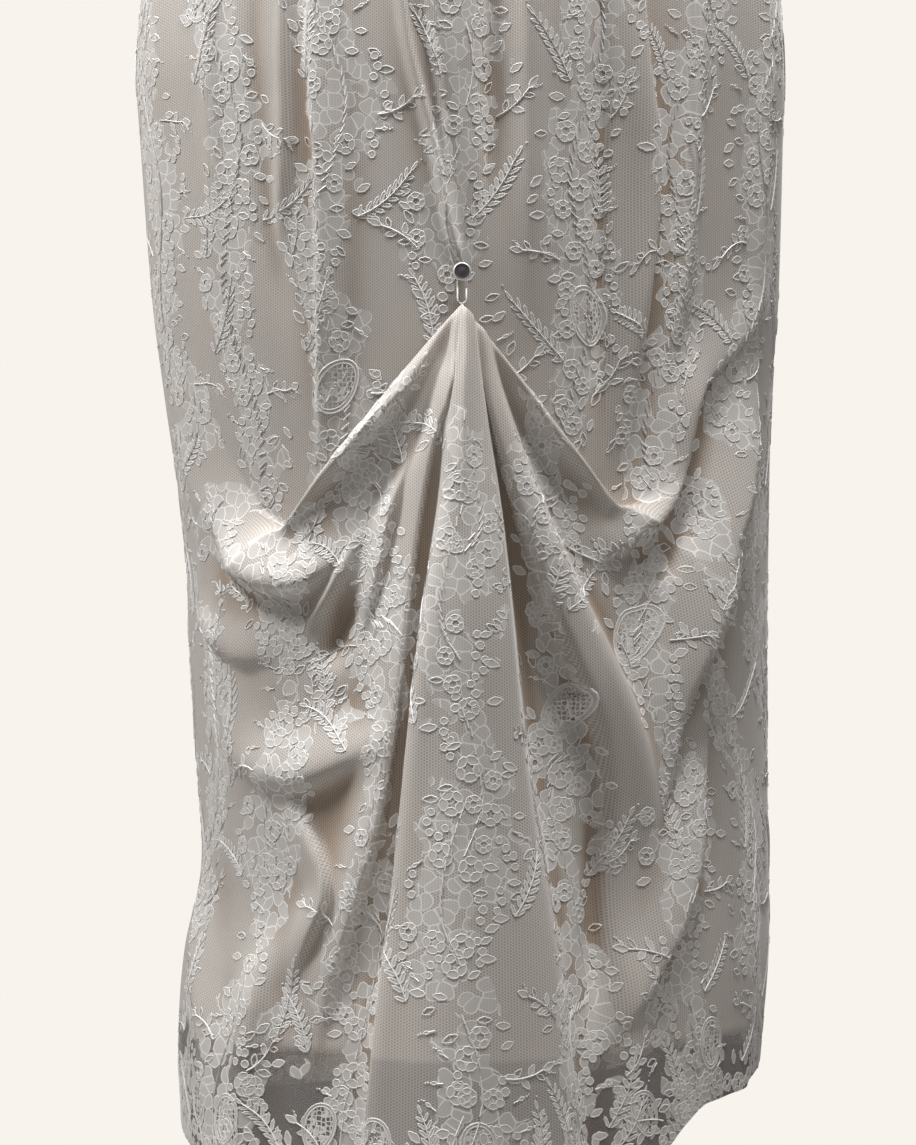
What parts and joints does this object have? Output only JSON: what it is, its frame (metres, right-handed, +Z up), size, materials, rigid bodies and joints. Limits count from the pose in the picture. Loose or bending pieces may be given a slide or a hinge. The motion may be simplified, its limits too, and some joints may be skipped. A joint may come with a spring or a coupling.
{
  "type": "wedding dress",
  "caption": "Worn sleeveless lace wedding dress with wide straps, held up at the shoulders, its train lifted by a thread loop to one button at the back and falling in a fan of folds over a lining.",
  "frame": {"origin": "between the shoulders, level with the underside of the straps at the shoulder seams, where a wearer holds the dress up", "axes": "+Z up, -Y towards the back of the dress where the train is lifted, +Y towards its front, +X to the right as seen from behind"},
  "size_m": [0.4592, 0.3999, 1.4728],
  "materials": {
    "lace": "matte",
    "lining": "satin",
    "button_metal": "polished",
    "thread": "matte"
  },
  "bodies": {
    "root": {"bodice_front": "lace", "bodice_back_left": "lace", "bodice_back_right": "lace", "closure_button_1": "lace", "closure_button_2": "lace", "closure_button_3": "lace", "closure_button_4": "lace", "closure_button_5": "lace", "closure_button_6": "lace", "closure_button_7": "lace", "closure_button_8": "lace", "skirt_front": "lace", "skirt_back": "lace", "lining_front": "lining", "lining_back": "lining", "bustle_button": "button_metal", "bustle_loop": "thread"}
  },
  "joints": []
}
